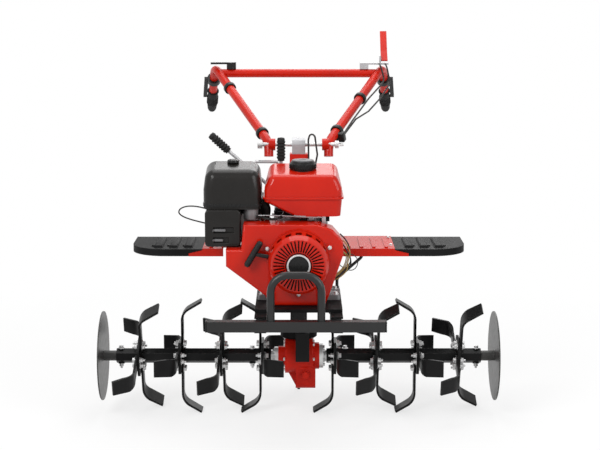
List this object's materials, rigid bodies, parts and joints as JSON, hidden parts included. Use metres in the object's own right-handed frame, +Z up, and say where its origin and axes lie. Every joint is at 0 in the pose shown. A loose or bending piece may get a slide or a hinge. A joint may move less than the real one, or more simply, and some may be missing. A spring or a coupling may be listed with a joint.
{
  "type": "power tiller",
  "caption": "Walk-behind power tiller: petrol engine on a gear-driven rotor of bent tines with guard discs, fenders, front bumper, drag stake and a swivelling, tilting handlebar.",
  "frame": {"origin": "on the floor under the middle of the machine's box", "axes": "+X to the operator's right, that is along the tine axle; +Y from the front bumper to the handlebar; +Z up"},
  "size_m": [1.272, 1.2946, 1.2019],
  "materials": {
    "red_cast": "gloss",
    "red_paint": "gloss",
    "black_paint": "satin",
    "black_cast": "satin",
    "engine_alloy": "satin",
    "bright_steel": "satin",
    "grey_steel": "satin",
    "dark_steel": "satin",
    "black_plastic": "gloss",
    "grey_plastic": "matte",
    "grip_rubber": "matte"
  },
  "bodies": {
    "frame": {"gear_case": "red_cast", "bearing_caps": "bright_steel", "case_guard": "dark_steel", "gearbox": "black_cast", "clutch_housing": "engine_alloy", "engine_block": "engine_alloy", "cylinder": "engine_alloy", "valve_cover": "black_paint", "fan_shroud": "red_paint", "recoil_starter": "red_paint", "starter_cap": "black_plastic", "pull_handle": "black_plastic", "fuel_tank": "red_paint", "fuel_cap": "grey_plastic", "tank_mounts": "dark_steel", "air_cleaner": "black_plastic", "control_box": "black_plastic", "carburettor": "engine_alloy", "muffler": "dark_steel", "rails": "black_paint", "engine_bed": "black_paint", "bumper": "black_paint", "fenders_inner": "red_paint", "fenders_outer": "black_paint", "fender_stays": "black_paint", "shift_levers": "grey_steel", "shift_grips": "grip_rubber", "shift_gate": "grey_steel", "hitch": "black_paint"},
    "rotor": {"tine_shaft": "bright_steel", "tine_tubes": "dark_steel", "tine_stars_left": "dark_steel", "tine_stars_right": "dark_steel", "guard_discs": "dark_steel"},
    "stake": {"drag_stake": "dark_steel"},
    "turret": {"swivel_base": "red_cast", "tilt_block": "grey_steel", "tilt_bolt": "bright_steel", "cables_lower": "black_plastic"},
    "handlebar": {"handle_tubes": "red_paint", "grips": "grip_rubber", "hand_controls": "black_plastic", "clutch_bracket": "grey_steel", "clutch_lever": "red_paint", "cables_upper": "grey_plastic"}
  },
  "joints": [
    {"name": "rotor_spin", "type": "hinge", "parent": "frame", "child": "rotor", "pos_m": [0, -0.30128, 0.185], "axis": [1, 0, 0], "continuous": true},
    {"name": "stake_slide", "type": "slide", "parent": "frame", "child": "stake", "axis": [0, 0, 1], "range_m": [0, 0.1]},
    {"name": "handle_swivel", "type": "hinge", "parent": "frame", "child": "turret", "pos_m": [0, -0.10528, 0.657], "axis": [0, 0, 1], "range_deg": [-30, 30]},
    {"name": "handle_tilt", "type": "hinge", "parent": "turret", "child": "handlebar", "pos_m": [0, -0.04128, 0.844], "axis": [1, 0, 0], "range_deg": [-15, 30]}
  ]
}
